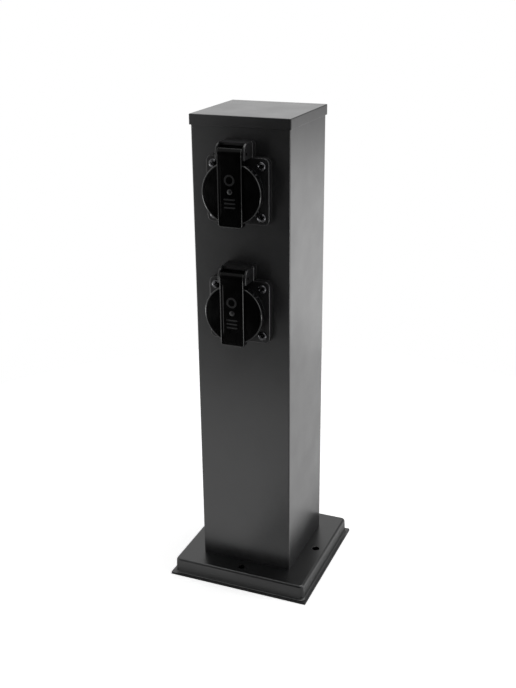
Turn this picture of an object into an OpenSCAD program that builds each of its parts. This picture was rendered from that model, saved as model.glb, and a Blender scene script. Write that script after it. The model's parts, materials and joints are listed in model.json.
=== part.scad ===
// Garden socket post: a square sheet-metal column on a pressed foot plate, with two flush sockets
// under sprung lids on its front. Millimetres, +Z up, the front faces -Y, and the origin is the
// centre of the foot plate's underside.

/* [Column] */
// Height from the floor to the top of the cap
post_h = 390; // [350:1:480]
// Outside width of the square column
column_w = 78.5; // [70:0.5:90]
// Wall of the column
column_wall = 1.5; // [1:0.1:2]
// Outside radius of the column's corners
column_corner_r = 1; // [0.6:0.1:2]
// Bore of the screw channels in the column's corners
channel_bore_d = 3.4; // [2.8:0.1:4]
// Wall round a screw channel's bore
channel_wall = 2; // [1.5:0.1:2.5]
// Length of the screws that hold the column to the foot plate
column_screw_l = 16; // [10:1:30]

/* [Cap] */
// Sheet of the cap
cap_sheet = 0.8; // [0.6:0.1:1.5]
// Depth of the cap's skirt, outside
cap_skirt_h = 8; // [6:0.5:14]
// Gap between the cap's skirt and the column
cap_gap = 0.2; // [0.1:0.05:0.5]
// Outside radius of the cap's folds
cap_fold_r = 0.7; // [0.4:0.05:1.2]
// Thickness of the seal between cap and column
cap_seal_t = 1.5; // [1:0.1:3]
// Sheet of the cap's spring clips
clip_sheet = 0.6; // [0.4:0.1:1]
// Width of a spring clip
clip_w = 16; // [10:1:24]
// Length of a spring clip's leg
clip_leg_l = 18; // [12:1:26]
// Length of a spring clip's top, under the cap
clip_top_l = 12; // [8:1:18]

/* [Foot plate] */
// Width of the square foot plate over its lip
base_w = 123; // [114:1:150]
// Height of the foot plate
base_h = 14.2; // [11:0.2:18]
// Sheet of the foot plate
base_sheet = 1.5; // [1.2:0.1:2]
// Outside radius of the shoulder
base_shoulder_r = 2.2; // [1.7:0.1:4]
// Radius of the flare above the lip
base_flare_r = 1.5; // [1:0.1:4]
// Width of the flat lip
base_lip_w = 1.2; // [0.8:0.1:2]
// Corner radius of the wall, in plan
base_wall_corner_r = 4.2; // [4:0.1:6]
// Corner radius of the lip, in plan
base_lip_corner_r = 1.2; // [0.6:0.1:6]
// Pitch circle of the four fixing holes
fixing_pcd = 98.5; // [92:0.5:100]
// Diameter of a fixing hole
fixing_hole_d = 6; // [4:0.1:6.5]
// Bore of the cable grommet
grommet_bore_d = 10; // [7:0.5:12]
// Wall of the grommet inside the foot plate's hole
grommet_wall = 4; // [2:0.5:5]
// Width of the grommet's flanges past the hole
grommet_flange = 2; // [1:0.5:3]
// Height of the grommet above and below the sheet
grommet_stand = 2.5; // [1.5:0.5:3.5]

/* [Sockets] */
// Distance from the top of the cap to the upper socket's centre
upper_socket_drop = 53.3; // [50:0.1:60]
// Distance between the sockets' centres
socket_pitch = 93; // [85:0.5:130]
// Width of the flange past a screw's centre
flange_margin = 6; // [5:0.1:8]
// Thickness of the flange
flange_t = 4.5; // [3.5:0.1:6]
// Corner radius of the flange
flange_corner_r = 4.5; // [2:0.1:6]
// Thickness of the gasket behind the flange
gasket_t = 1; // [0.6:0.1:2]
// Amount by which the pitch of the flange screws is less than the collar's diameter
screw_inset = 4; // [3:0.1:4.5]
// Outside diameter of the collar round the well
collar_d = 42; // [41:0.1:43]
// Wall of the collar
collar_wall = 1.5; // [1.2:0.1:2]
// Height of the collar in front of the flange
collar_h = 8.2; // [7:0.1:10]
// Depth of the well behind the collar's rim
well_depth = 17.5; // [16:0.1:19]
// Thickness of the well's floor
well_floor_t = 2.2; // [1.5:0.1:3]
// Gap between the well and the column's cutout
cutout_gap = 0.5; // [0.2:0.1:1]
// Width of a guide rib in the well
rib_w = 5.4; // [4:0.1:6]
// Depth of a guide rib, from the collar's inside
rib_depth = 3; // [2:0.1:4]
// Distance from the rim down to a guide rib
rib_drop = 2.5; // [1:0.1:5]

/* [Hinge boss] */
// Width of the boss that carries the hinge
boss_w = 23; // [22:0.1:25]
// Width of the neck plate past the boss, each side
neck_margin = 0.8; // [0.4:0.1:1.2]
// Corner radius of the neck plate
neck_corner_r = 1.5; // [0.5:0.1:3]
// Radius of the boss's rounded front
boss_nose_r = 7; // [5:0.1:8]
// Distance from the strap's front back to the cheeks' front
cheek_setback = 1.2; // [0.6:0.1:2]
// Distance from the hinge axis down to the cheeks' ends
cheek_drop = 4; // [3:0.1:5]
// Thickness of the roof over the lid's barrel
roof_t = 1.6; // [0.8:0.1:2]
// Distance from the hinge axis back to the roof's front edge
roof_setback = 2; // [1:0.1:3]
// Distance from the lid's edge up to the hinge axis
hinge_offset = 5.5; // [5:0.1:6.5]
// Diameter of the hinge pin
pin_d = 2.5; // [2:0.1:3]
// Radial clearance of the pin in the cheeks
pin_fit = 0.02; // [0.01:0.01:0.05]
// Radial clearance of the pin in the lid's barrel
pin_run = 0.06; // [0.04:0.01:0.1]
// Gap round the lid's barrel and beside it
barrel_gap = 0.4; // [0.3:0.05:0.6]

/* [Lid] */
// Gap between the collar and the lid's rim
lid_gap = 1.2; // [1:0.1:1.6]
// Thickness of the lid over its rim
lid_h = 6; // [5:0.1:7]
// Wall of the lid's rim
lid_wall = 1.3; // [1:0.1:1.5]
// Thickness of the lid's front
lid_front_t = 2; // [1.5:0.1:2.5]
// Depth by which the lid's rim reaches over the collar
lid_overlap = 1.7; // [1:0.1:2]
// Radius of the lid's front edge
lid_edge_r = 1.2; // [0.5:0.1:1.8]
// Width of the raised strap
strap_w = 19.2; // [18:0.1:19.6]
// Height of the strap above the lid's front
strap_rise = 2.5; // [2:0.1:3]
// Radius of the lid's hinge barrel
barrel_r = 5.5; // [5:0.1:6.2]
// Distance by which the finger tab reaches past the lid
tab_reach = 1.5; // [0.5:0.1:4]
// Thickness of the finger tab
tab_t = 6.5; // [4:0.1:7]
// Corner radius of the finger tab
tab_corner_r = 2.5; // [1:0.1:4]
// Width of the strap's recessed panel
panel_w = 14.2; // [10:0.1:16]
// Height of the recessed panel
panel_h = 40.6; // [30:0.1:44]
// Height of the recessed panel's middle above the socket's centre
panel_rise = 4.1; // [0:0.1:5]
// Depth of the recessed panel
panel_depth = 0.5; // [0.2:0.1:0.8]
// Width of the lid's seal
seal_w = 4.5; // [3:0.1:6]
// Gap between the closed lid's seal and the rim
seal_gap = 0.3; // [0.25:0.05:0.6]
// Wire of the lid's spring
spring_wire_d = 0.8; // [0.6:0.1:0.9]
// Mean radius of the spring's coil
spring_r = 2.2; // [2:0.1:2.4]
// Length of the spring's coil, wire centre to wire centre
spring_l = 6; // [5:0.1:6.6]
// Whole turns of the spring's coil
spring_turns = 4; // [2:1:4]
// Gap round the spring in the lid
spring_gap = 0.4; // [0.3:0.05:0.6]

/* [Contacts] */
// Distance from the well's outside in to the contact block's edge
block_inset = 0.5; // [0.3:0.1:1]
// Depth of the contact block
block_depth = 16; // [14:0.5:20]
// Distance from the well's centre to a pin contact
contact_x = 9.5; // [9:0.1:10]
// Outside diameter of a pin contact
contact_d = 7; // [6.5:0.1:7.5]
// Bore of a pin contact
contact_bore_d = 4.9; // [4.5:0.1:5.2]
// Diameter of a pin hole in the well's floor
pin_hole_d = 5.6; // [5:0.1:6]
// Thickness of the earth strip
earth_t = 0.8; // [0.6:0.1:1]
// Width of the earth strip
earth_w = 6; // [5:0.1:7]
// Distance from the well's wall in to an earth finger's middle
earth_inset = 1.5; // [1.2:0.1:2]
// Height of an earth finger above the well's floor
earth_finger_h = 9; // [6:0.1:12]
// Distance from the well's centre down to the earth terminal
earth_terminal_y = 11.5; // [11:0.1:13]
// Size of a terminal box, all ways
terminal_w = 8; // [7.5:0.1:8.5]
// Gap round a contact in its block
contact_gap = 0.1; // [0.05:0.05:0.2]

/* [Terminal block] */
// Height of the terminal block's underside above the foot plate
block_rise = 33; // [28:1:60]
// Width of the terminal block
tblock_w = 32; // [30:0.5:40]
// Depth of the terminal block
tblock_d = 14; // [12:0.5:16]
// Height of the terminal block
tblock_h = 20; // [18:0.5:26]
// Distance between the poles
pole_pitch = 10; // [9.6:0.1:11]
// Outside diameter of a pole's sleeve
sleeve_d = 5.5; // [5:0.1:6]
// Bore of a pole's sleeve
sleeve_bore_d = 3.4; // [3:0.1:3.8]
// Distance between a pole's two clamping screws
clamp_pitch = 11; // [9:0.5:13]
// Sheet of the bracket
bracket_sheet = 1.5; // [1:0.1:2]
// Depth of the bracket's foot
bracket_foot_l = 14; // [11:0.5:14.5]
// Distance between the bracket's screws
bracket_screw_pitch = 20; // [16:0.5:22]
// Height of the bracket past the terminal block
bracket_margin = 3; // [1:0.5:8]

/* [Wiring] */
// Outside diameter of a wire
wire_d = 2.8; // [2:0.1:2.8]
// Length of a wire in its terminal, past the middle of the terminal
wire_end_gap = 0.8; // [0.5:0.1:1.5]
// Straight length of a wire at each end
wire_lead = 14; // [10:1:20]
// Distance from the post's middle to the earth screw, sideways
bond_x = 24; // [20:0.5:25]
// Distance from the post's middle back to the earth screw
bond_y = 20; // [18:0.5:24]
// Length of the earth lug's barrel
lug_barrel_l = 8; // [6:0.5:10]
// Sheet of the earth lug
lug_sheet = 1; // [0.8:0.1:1.4]

/* [Fasteners] */
// Shank of the flange, foot and earth screws
screw_d = 3.9; // [3:0.1:4]
// Head diameter of those screws
screw_head_d = 7; // [6:0.1:7.4]
// Head height of those screws
screw_head_h = 2.4; // [1.8:0.1:3]
// Size of their nuts across flats
nut_af = 7; // [6:0.1:7.4]
// Height of their nuts
nut_h = 3.2; // [2:0.1:3.2]
// Length of screw past its nut
screw_proud = 0.8; // [0.2:0.1:1.5]
// Shank of the small screws
small_screw_d = 2.9; // [2.5:0.1:3]
// Head diameter of the small screws
small_head_d = 5.5; // [5:0.1:6]
// Head height of the small screws
small_head_h = 1.8; // [1.4:0.1:2.4]
// Radial gap round a screw in a plain hole
hole_gap = 0.2; // [0.1:0.05:0.4]
// Radial gap round a screw in its nut or thread
thread_gap = 0.05; // [0.02:0.01:0.1]

/* [Hidden] */
$fn = 64;
// Length by which a cut runs past the face that it opens
cut = 1;

POST_NODES = [
    "base_plate", "column", "top_cap", "cap_seal", "cap_clips", "column_screws", "cable_grommet",
    "terminal_bracket", "bracket_screws", "bracket_nuts", "terminal_block", "block_fixing_screws",
    "terminal_sleeves", "terminal_block_screws", "earth_bond_screw", "earth_bond_nut", "earth_bond_lug",
    "earth_bond_wire", "lower_live_wire", "lower_neutral_wire", "lower_earth_wire", "upper_live_wire",
    "upper_neutral_wire", "upper_earth_wire"
];
SOCKET_NODES = [
    "socket_housing", "flange_gasket", "flange_screws", "flange_nuts", "contact_block", "live_contact",
    "neutral_contact", "earth_contact", "insert_screw", "terminal_screws", "hinge_pin", "lid_spring", "lid",
    "lid_seal"
];

// Post: heights and half widths
column_half = column_w / 2;
column_inner_half = column_half - column_wall;
cap_under_z = post_h - cap_sheet;
column_top_z = cap_under_z - cap_seal_t;
channel_r = channel_bore_d / 2 + channel_wall;
channel_at = column_inner_half - channel_r;
channel_centres = [for (x = [-1, 1]) for (y = [-1, 1]) [x * channel_at, y * channel_at]];
base_under_z = base_h - base_sheet;
base_corner_at = base_w / 2 - base_lip_w - base_flare_r - base_wall_corner_r;
base_flare_end = base_wall_corner_r + base_flare_r;
grommet_hole_r = grommet_bore_d / 2 + grommet_wall;
upper_z = post_h - upper_socket_drop;
lower_z = upper_z - socket_pitch;

// Socket, in its own frame: x to the right, y up, z out of the column's front face
flange_front_z = gasket_t + flange_t;
rim_z = flange_front_z + collar_h;
well_floor_z = rim_z - well_depth;
well_back_z = well_floor_z - well_floor_t;
well_r = collar_d / 2 - collar_wall;
cutout_r = collar_d / 2 + cutout_gap;
screw_pitch = collar_d - screw_inset;
flange_w = screw_pitch + 2 * flange_margin;
screw_centres = [for (x = [-1, 1]) for (y = [-1, 1]) [x * screw_pitch / 2, y * screw_pitch / 2]];
screw_hole_d = screw_d + 2 * hole_gap;

// Lid, in the socket's frame
lid_back_z = rim_z - lid_overlap;
lid_front_z = lid_back_z + lid_h;
lid_inside_z = lid_front_z - lid_front_t;
lid_inner_r = collar_d / 2 + lid_gap;
lid_d = 2 * (lid_inner_r + lid_wall);
hinge_rise = lid_d / 2 + hinge_offset;
strap_front_z = lid_front_z + strap_rise;
seal_back_z = rim_z + seal_gap;
seal_outer_r = lid_inner_r - contact_gap;
tab_bottom_y = -lid_d / 2 - tab_reach;
hinge_z = strap_front_z - barrel_r;
slot_r = barrel_r + barrel_gap;
slot_w = strap_w + 2 * barrel_gap;
boss_top_y = hinge_rise + slot_r + roof_t;
cheek_front_z = strap_front_z - cheek_setback;
neck_w = boss_w + 2 * neck_margin;
pocket_r = spring_r + spring_wire_d / 2 + spring_gap;
pocket_w = spring_l + spring_wire_d + 2 * spring_gap;

// Contacts, in the socket's frame
block_d = collar_d - 2 * block_inset;
earth_y = well_r - earth_inset;
block_back_z = well_back_z - block_depth;
terminal_z = block_back_z - terminal_w / 2;
contact_end_wall = 2;
earth_slot_gap = 0.1;

// Wiring, in the post's frame
wire_y = -column_half - terminal_z;
tblock_z = base_h + block_rise;
tblock_mid_z = tblock_z + tblock_h / 2;
tblock_back_y = wire_y + tblock_d / 2;
bracket_y = wire_y - tblock_d / 2;
bracket_foot_y = bracket_y - bracket_sheet - bracket_foot_l / 2;
bracket_w = tblock_w;
bracket_screw_x = bracket_screw_pitch / 2;
pole_x = [-pole_pitch, 0, pole_pitch];
lug_bore_d = wire_d + 2 * contact_gap;
lug_axis_z = base_h + lug_sheet + lug_bore_d / 2;
lug_ring_r = screw_head_d / 2 + lug_sheet;
lug_barrel_x = bond_x - lug_ring_r;
live_bow = [6, -3, 0];
neutral_bow = [-6, -3, 0];
earth_bow = [0, 3, 0];
bond_bend_1 = [-4, 1.5, -26];
bond_bend_2 = [-16, 0, 0];
wire_steps = 14;
wire_sides = 8;

// Spring of a lid: one leg in the lid's strap, the other hooked back against the boss
spring_leg = barrel_r - spring_wire_d;
spring_hook_drop = 3;
spring_hook_bend = 0.8;
spring_hook_reach = slot_r - spring_wire_d / 4;
spring_sweep = spring_turns * 360 + 180;
spring_steps_per_turn = 12;
spring_sides = 6;

// Screw heads: radius of the crown, cross recess and slot, each as a share of the screw's own size
head_crown_share = 0.72;
recess_width_share = 0.15;
recess_length_share = 0.52;
recess_depth_share = 0.6;
slot_depth_share = 0.3;
slot_width_share = 0.22;

// Shapes that repeat

module rounded_rect(w, h, r) {
    square([w - 2 * r, h], center = true);
    square([w, h - 2 * r], center = true);
    for (x = [-1, 1])
        for (y = [-1, 1])
            translate([x * (w / 2 - r), y * (h / 2 - r)])
                circle(r);
}

module square_ring(outer_w, inner_w, corner_r) {
    difference() {
        rounded_rect(outer_w, outer_w, corner_r);
        square(inner_w, center = true);
    }
}

// A pan-head screw with a cross recess, its head standing on z = 0 and its shank below
module pan_screw(d, head_d, head_h, length) {
    crown_r = head_d * head_crown_share;
    recess_w = head_d * recess_width_share;
    recess_l = head_d * recess_length_share;
    recess_depth = head_h * recess_depth_share;
    difference() {
        union() {
            rotate_extrude()
                intersection() {
                    square([head_d / 2, head_h]);
                    translate([0, head_h - crown_r])
                        circle(crown_r);
                }
            translate([0, 0, -length])
                cylinder(d = d, h = length + head_h / 4);
        }
        for (turn = [0, 90])
            rotate([0, 0, turn])
                translate([-recess_l / 2, -recess_w / 2, head_h - recess_depth])
                    cube([recess_l, recess_w, recess_depth + cut]);
    }
}

// A headless clamping screw with a slot, its slotted end at z = 0 and its tip below
module clamp_screw(d, length) {
    slot_depth = d * slot_depth_share;
    slot_wide = d * slot_width_share;
    difference() {
        translate([0, 0, -length])
            cylinder(d = d, h = length);
        translate([-d, -slot_wide / 2, -slot_depth])
            cube([2 * d, slot_wide, slot_depth + cut]);
    }
}

// A hexagon nut standing on z = 0
module hex_nut(across, h, bore) {
    difference() {
        cylinder(d = across / cos(30), h = h, $fn = 6);
        translate([0, 0, -cut])
            cylinder(d = bore, h = h + 2 * cut);
    }
}

function unit(v) = v / norm(v);
function eased(t) = t * t * (3 - 2 * t);
function bulge(t) = pow(sin(180 * t), 2);

// Direction of a path at point i
function heading(path, i) = unit(path[min(i + 1, len(path) - 1)] - path[max(i - 1, 0)]);

// Points of one ring round a path; side is a direction that the path never takes
function ring_points(path, i, r, sides, side) =
    let (d = heading(path, i), u = unit(cross(d, side)), v = cross(d, u))
    [for (k = [0:sides - 1]) path[i] + r * (u * cos(360 * k / sides) + v * sin(360 * k / sides))];

function ring_faces(i, sides) =
    [for (k = [0:sides - 1])
        let (a = i * sides + k, b = i * sides + (k + 1) % sides)
        each [[a, a + sides, b], [b, a + sides, b + sides]]];

// A round tube that follows a path, as one closed solid
module swept_tube(path, r, sides, side) {
    last = (len(path) - 1) * sides;
    polyhedron(
        points = [for (i = [0:len(path) - 1]) each ring_points(path, i, r, sides, side)],
        faces = concat(
            [[for (k = [0:sides - 1]) k]],
            [for (i = [0:len(path) - 2]) each ring_faces(i, sides)],
            [[for (k = [sides - 1:-1:0]) last + k]]
        )
    );
}

// Route of a wire that rises from one terminal to the next and bows out between them
function wire_route(from, to, bow) =
    let (low = from + [0, 0, wire_lead], high = to - [0, 0, wire_lead])
    concat(
        [from],
        [for (i = [0:wire_steps])
            let (t = i / wire_steps, way = high - low)
            low + [way.x * eased(t), way.y * eased(t), way.z * t] + bow * bulge(t)],
        [to]
    );

function bezier(a, b, c, d, t) =
    a * pow(1 - t, 3) + b * 3 * pow(1 - t, 2) * t + c * 3 * (1 - t) * t * t + d * pow(t, 3);

// Frames of the two sockets and of a lid's hinge

module at_upper() {
    translate([0, -column_half, upper_z])
        rotate([90, 0, 0])
            children();
}

module at_lower() {
    translate([0, -column_half, lower_z])
        rotate([90, 0, 0])
            children();
}

// Cylinder along x, centred on the hinge axis
module hinge_cylinder(r, w) {
    translate([-w / 2, hinge_rise, hinge_z])
        rotate([0, 90, 0])
            cylinder(r = r, h = w);
}

// Foot plate

// Half section of the foot plate's form under one face of its sheet, out from a corner's centre
module base_form(depth) {
    wall = base_wall_corner_r - depth;
    shoulder = base_shoulder_r - depth;
    flare = base_flare_r + depth;
    top = base_h - depth;
    foot = base_sheet - depth;
    square([wall - shoulder, top]);
    square([wall, top - shoulder]);
    translate([wall - shoulder, top - shoulder])
        intersection() {
            circle(shoulder);
            square(shoulder);
        }
    translate([wall, foot])
        difference() {
            square(flare);
            translate([flare, flare])
                circle(flare);
        }
}

module base_section() {
    difference() {
        union() {
            base_form(0);
            square([base_flare_end, base_sheet]);
        }
        base_form(base_sheet);
    }
}

module base_holes() {
    for (turn = [0:90:270])
        rotate([0, 0, turn])
            translate([fixing_pcd / 2, 0])
                circle(d = fixing_hole_d);
    for (at = channel_centres)
        translate(at)
            circle(d = channel_bore_d + 2 * hole_gap);
    for (x = [-bracket_screw_x, bracket_screw_x])
        translate([x, bracket_foot_y])
            circle(d = screw_hole_d);
    translate([bond_x, bond_y])
        circle(d = screw_hole_d);
    circle(grommet_hole_r);
}

module base_plate() {
    color("#1c1d1f")
        difference() {
            union() {
                translate([0, 0, base_under_z])
                    linear_extrude(base_sheet)
                        square(2 * base_corner_at, center = true);
                for (turn = [0:90:270])
                    rotate([0, 0, turn])
                        translate([base_corner_at, base_corner_at, 0]) {
                            rotate_extrude(angle = 90)
                                base_section();
                            rotate([90, 0, 0])
                                linear_extrude(2 * base_corner_at)
                                    base_section();
                        }
                linear_extrude(base_sheet)
                    difference() {
                        rounded_rect(base_w, base_w, base_lip_corner_r);
                        rounded_rect(base_w - 2 * base_lip_w, base_w - 2 * base_lip_w, base_flare_end);
                    }
            }
            translate([0, 0, base_under_z - cut])
                linear_extrude(base_sheet + 2 * cut)
                    base_holes();
        }
}

module cable_grommet() {
    flange_r = grommet_hole_r + grommet_flange;
    color("#161616")
        rotate_extrude()
            translate([grommet_bore_d / 2, base_under_z - grommet_stand])
                difference() {
                    square([flange_r - grommet_bore_d / 2, base_sheet + 2 * grommet_stand]);
                    translate([grommet_wall, grommet_stand])
                        square([grommet_flange + cut, base_sheet]);
                }
}

module column_screws() {
    color("#2a2b2d")
        for (at = channel_centres)
            translate([at.x, at.y, base_under_z])
                rotate([180, 0, 0])
                    pan_screw(channel_bore_d - 2 * thread_gap, screw_head_d, screw_head_h, column_screw_l);
}

// Column and cap

module column_outline() {
    square_ring(column_w, 2 * column_inner_half, column_corner_r);
    for (at = channel_centres)
        translate(at)
            difference() {
                union() {
                    circle(channel_r);
                    translate([min(0, sign(at.x) * channel_r), min(0, sign(at.y) * channel_r)])
                        square(channel_r);
                }
                circle(d = channel_bore_d);
            }
}

module socket_cutout() {
    translate([0, 0, -column_wall - cut])
        linear_extrude(column_wall + 2 * cut) {
            circle(cutout_r);
            for (at = screw_centres)
                translate(at)
                    circle(d = screw_hole_d);
        }
}

module column() {
    color("#1a1b1d")
        difference() {
            translate([0, 0, base_h])
                linear_extrude(column_top_z - base_h)
                    column_outline();
            at_upper() socket_cutout();
            at_lower() socket_cutout();
        }
}

// Outside of the cap seen along one side, with its two folds rounded
module cap_profile(w) {
    translate([0, post_h - cap_skirt_h / 2])
        rounded_rect(w, cap_skirt_h, cap_fold_r);
    translate([-w / 2, post_h - cap_skirt_h])
        square([w, cap_skirt_h / 2]);
}

module cap_block(w) {
    intersection() {
        rotate([90, 0, 0])
            linear_extrude(w, center = true)
                cap_profile(w);
        rotate([90, 0, 90])
            linear_extrude(w, center = true)
                cap_profile(w);
        translate([0, 0, post_h - cap_skirt_h])
            linear_extrude(cap_skirt_h)
                rounded_rect(w, w, cap_fold_r);
    }
}

module top_cap() {
    inner_w = column_w + 2 * cap_gap;
    color("#1e1f21")
        difference() {
            cap_block(inner_w + 2 * cap_sheet);
            translate([-inner_w / 2, -inner_w / 2, post_h - cap_skirt_h - cut])
                cube([inner_w, inner_w, cap_skirt_h + cut - cap_sheet]);
        }
}

module cap_seal() {
    color("#141414")
        translate([0, 0, column_top_z])
            linear_extrude(cap_seal_t)
                square_ring(column_w, 2 * column_inner_half, column_corner_r);
}

module cap_clips() {
    color("#8d9196")
        for (turn = [0, 180])
            rotate([0, 0, turn])
                translate([column_inner_half, clip_w / 2, cap_under_z])
                    rotate([90, 0, 0])
                        linear_extrude(clip_w) {
                            translate([-clip_top_l, -clip_sheet])
                                square([clip_top_l, clip_sheet]);
                            translate([-clip_sheet, -clip_leg_l])
                                square([clip_sheet, clip_leg_l]);
                        }
}

// Terminal block, its bracket and the earth bond

module terminal_bracket() {
    color("#8d9196")
        difference() {
            translate([-bracket_w / 2, 0, base_h]) {
                translate([0, bracket_y - bracket_sheet - bracket_foot_l, 0])
                    cube([bracket_w, bracket_foot_l + bracket_sheet, bracket_sheet]);
                translate([0, bracket_y - bracket_sheet, 0])
                    cube([bracket_w, bracket_sheet, block_rise + tblock_h + bracket_margin]);
            }
            for (x = [-bracket_screw_x, bracket_screw_x])
                translate([x, bracket_foot_y, base_h - cut])
                    cylinder(d = screw_hole_d, h = bracket_sheet + 2 * cut);
            block_fixings()
                translate([0, 0, -cut])
                    cylinder(d = small_screw_d + 2 * thread_gap, h = bracket_sheet + 2 * cut);
        }
}

// Axes of the screws between block and bracket, from the bracket's front face to the back
module block_fixings() {
    for (x = [-pole_pitch / 2, pole_pitch / 2])
        translate([x, bracket_y - bracket_sheet, tblock_mid_z])
            rotate([-90, 0, 0])
                children();
}

// Axes of the screws that clamp the poles, at the block's back face
module pole_clamps() {
    for (x = pole_x)
        for (z = [-clamp_pitch / 2, clamp_pitch / 2])
            translate([x, tblock_back_y, tblock_mid_z + z])
                rotate([-90, 0, 0])
                    children();
}

module bracket_screws() {
    grip = bracket_sheet + base_sheet;
    color("#9a9da1")
        for (x = [-bracket_screw_x, bracket_screw_x])
            translate([x, bracket_foot_y, base_h + bracket_sheet])
                pan_screw(screw_d, screw_head_d, screw_head_h, grip + nut_h + screw_proud);
}

module bracket_nuts() {
    color("#9a9da1")
        for (x = [-bracket_screw_x, bracket_screw_x])
            translate([x, bracket_foot_y, base_under_z - nut_h])
                hex_nut(nut_af, nut_h, screw_d + 2 * thread_gap);
}

module terminal_block() {
    color("#d9d6cc")
        difference() {
            translate([-tblock_w / 2, bracket_y, tblock_z])
                cube([tblock_w, tblock_d, tblock_h]);
            for (x = pole_x)
                translate([x, wire_y, tblock_z - cut])
                    cylinder(d = sleeve_d + 2 * contact_gap, h = tblock_h + 2 * cut);
            pole_clamps()
                translate([0, 0, -tblock_d / 2])
                    cylinder(d = small_screw_d + 2 * hole_gap, h = tblock_d / 2 + cut);
            block_fixings()
                cylinder(d = small_screw_d + 2 * thread_gap, h = bracket_sheet + tblock_d + cut);
        }
}

module block_fixing_screws() {
    color("#9a9da1")
        block_fixings()
            translate([0, 0, bracket_sheet + tblock_d])
                pan_screw(small_screw_d, small_head_d, small_head_h, bracket_sheet + tblock_d);
}

module terminal_sleeves() {
    color("#b8934a")
        difference() {
            for (x = pole_x)
                translate([x, wire_y, tblock_z])
                    difference() {
                        cylinder(d = sleeve_d, h = tblock_h);
                        translate([0, 0, -cut])
                            cylinder(d = sleeve_bore_d, h = tblock_h + 2 * cut);
                    }
            pole_clamps()
                translate([0, 0, -tblock_d / 2])
                    cylinder(d = small_screw_d + 2 * thread_gap, h = tblock_d / 2);
        }
}

module terminal_block_screws() {
    recess = 1;
    tip_gap = 0.2;
    color("#9a9da1")
        pole_clamps()
            translate([0, 0, -recess])
                clamp_screw(small_screw_d, tblock_d / 2 - recess - wire_d / 2 - tip_gap);
}

module earth_bond_screw() {
    grip = lug_sheet + base_sheet;
    color("#b8934a")
        translate([bond_x, bond_y, base_h + lug_sheet])
            pan_screw(screw_d, screw_head_d, screw_head_h, grip + nut_h + screw_proud);
}

module earth_bond_nut() {
    color("#b8934a")
        translate([bond_x, bond_y, base_under_z - nut_h])
            hex_nut(nut_af, nut_h, screw_d + 2 * thread_gap);
}

module earth_bond_lug() {
    barrel_d = lug_bore_d + 2 * lug_sheet;
    color("#b7b9bc")
        difference() {
            union() {
                translate([bond_x, bond_y, base_h])
                    cylinder(r = lug_ring_r, h = lug_sheet);
                translate([lug_barrel_x, bond_y - barrel_d / 2, base_h])
                    cube([lug_ring_r, barrel_d, lug_sheet]);
                translate([lug_barrel_x - lug_barrel_l, bond_y, lug_axis_z])
                    rotate([0, 90, 0])
                        cylinder(d = barrel_d, h = lug_barrel_l);
                translate([lug_barrel_x - cut, bond_y - barrel_d / 2, base_h])
                    cube([2 * cut, barrel_d, lug_sheet]);
            }
            translate([lug_barrel_x - lug_barrel_l - cut, bond_y, lug_axis_z])
                rotate([0, 90, 0])
                    cylinder(d = lug_bore_d, h = lug_barrel_l + 2 * cut);
            translate([bond_x, bond_y, base_h - cut])
                cylinder(d = screw_hole_d, h = lug_sheet + 2 * cut);
        }
}

module earth_bond_wire() {
    top = [0, wire_y, tblock_mid_z - wire_end_gap];
    leave = [0, wire_y, tblock_z - wire_d];
    enter = [lug_barrel_x - lug_barrel_l, bond_y, lug_axis_z];
    inside = [lug_barrel_x - lug_sheet, bond_y, lug_axis_z];
    route = concat(
        [top],
        [for (i = [0:wire_steps])
            bezier(leave, leave + bond_bend_1, enter + bond_bend_2, enter, i / wire_steps)],
        [inside]
    );
    color("#8aa13a")
        swept_tube(route, wire_d / 2, wire_sides, [0, 1, 0]);
}

// Wires from the terminal block to the lower socket and from there to the upper one

module lower_wire(pole, terminal_x, terminal_z, bow) {
    from = [pole, wire_y, tblock_mid_z + wire_end_gap];
    to = [terminal_x, wire_y, terminal_z - wire_end_gap];
    swept_tube(wire_route(from, to, bow), wire_d / 2, wire_sides, [0, 1, 0]);
}

module upper_wire(terminal_x, low_z, high_z, bow) {
    from = [terminal_x, wire_y, low_z + wire_end_gap];
    to = [terminal_x, wire_y, high_z - wire_end_gap];
    swept_tube(wire_route(from, to, bow), wire_d / 2, wire_sides, [0, 1, 0]);
}

module lower_live_wire() {
    color("#6b4226") lower_wire(pole_pitch, contact_x, lower_z, live_bow);
}

module lower_neutral_wire() {
    color("#2f5fa8") lower_wire(-pole_pitch, -contact_x, lower_z, neutral_bow);
}

module lower_earth_wire() {
    color("#8aa13a") lower_wire(0, 0, lower_z - earth_terminal_y, earth_bow);
}

module upper_live_wire() {
    color("#6b4226") upper_wire(contact_x, lower_z, upper_z, live_bow);
}

module upper_neutral_wire() {
    color("#2f5fa8") upper_wire(-contact_x, lower_z, upper_z, neutral_bow);
}

module upper_earth_wire() {
    color("#8aa13a") upper_wire(0, lower_z - earth_terminal_y, upper_z - earth_terminal_y, earth_bow);
}

// Socket housing, gasket and fasteners

module flange_outline() {
    neck_h = boss_top_y - well_r;
    difference() {
        union() {
            rounded_rect(flange_w, flange_w, flange_corner_r);
            translate([0, boss_top_y - neck_h / 2])
                rounded_rect(neck_w, neck_h, neck_corner_r);
        }
        for (at = screw_centres)
            translate(at)
                circle(d = screw_hole_d);
    }
}

module flange_gasket() {
    color("#141414")
        linear_extrude(gasket_t)
            difference() {
                flange_outline();
                circle(cutout_r);
            }
}

// Side view of the hinge boss: first coordinate out from the column, second up
module boss_profile() {
    cheek_end_y = hinge_rise - cheek_drop;
    nose = [cheek_front_z - boss_nose_r, boss_top_y - boss_nose_r];
    translate([flange_front_z, cheek_end_y])
        square([nose.x - flange_front_z, boss_top_y - cheek_end_y]);
    translate([flange_front_z, cheek_end_y])
        square([cheek_front_z - flange_front_z, nose.y - cheek_end_y]);
    translate(nose)
        circle(boss_nose_r);
}

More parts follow.
